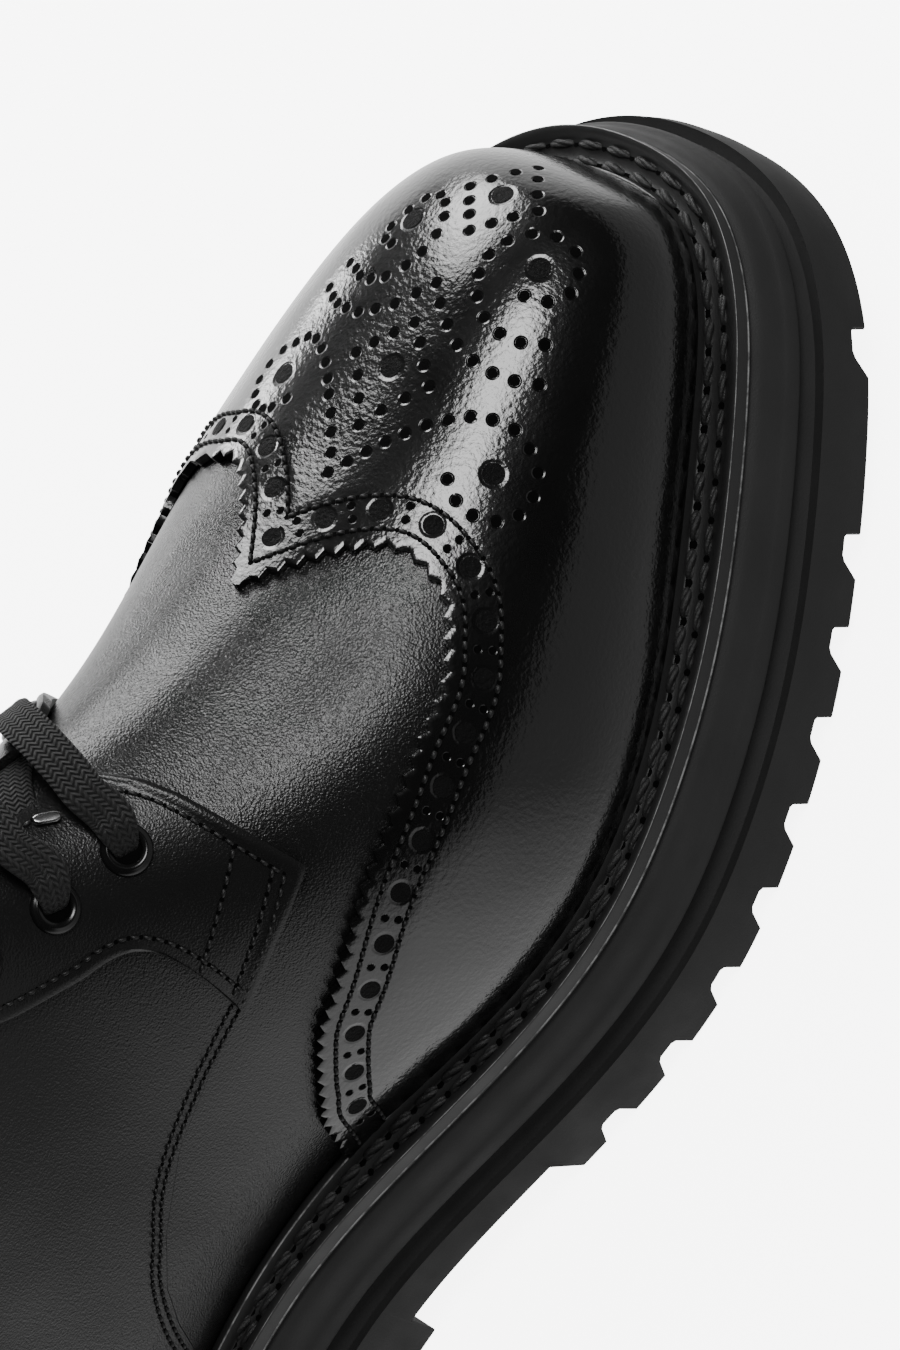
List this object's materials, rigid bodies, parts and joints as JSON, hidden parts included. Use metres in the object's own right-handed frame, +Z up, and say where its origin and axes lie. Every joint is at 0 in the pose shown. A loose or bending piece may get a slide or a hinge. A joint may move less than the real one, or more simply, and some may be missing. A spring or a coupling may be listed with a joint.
{
  "type": "ankle boot",
  "caption": "Black leather wing-tip brogue ankle boot with open lacing, storm welt and a thick lugged rubber sole, standing empty.",
  "frame": {"origin": "bottom centre of the whole boot's box, on the floor under the tread", "axes": "-Y towards the toe, +Y towards the heel, -X towards the outer side of the foot, +Z up"},
  "size_m": [0.1298, 0.318, 0.2113],
  "materials": {
    "rubber": "matte moulded rubber",
    "welt_rubber": "satin moulded rubber with two stitch rows",
    "polished_leather": "brush-polished box leather, glossy",
    "calf_leather": "fine-grained leather, satin",
    "lining_leather": "unfinished lining leather, matte",
    "enamel": "black enamel on pressed metal",
    "lace_braid": "flat waxed braid"
  },
  "bodies": {
    "root": {"outsole": "rubber", "midsole": "rubber", "welt": "welt_rubber", "insole": "lining_leather", "upper": "calf_leather", "wing_cap": "polished_leather", "facing_outer": "calf_leather", "facing_inner": "calf_leather", "tongue": "calf_leather", "laces": "lace_braid", "eyelet_outer_1": "enamel", "eyelet_outer_2": "enamel", "eyelet_outer_3": "enamel", "eyelet_outer_4": "enamel", "eyelet_outer_5": "enamel", "eyelet_outer_6": "enamel", "eyelet_inner_1": "enamel", "eyelet_inner_2": "enamel", "eyelet_inner_3": "enamel", "eyelet_inner_4": "enamel", "eyelet_inner_5": "enamel", "eyelet_inner_6": "enamel"}
  },
  "joints": []
}
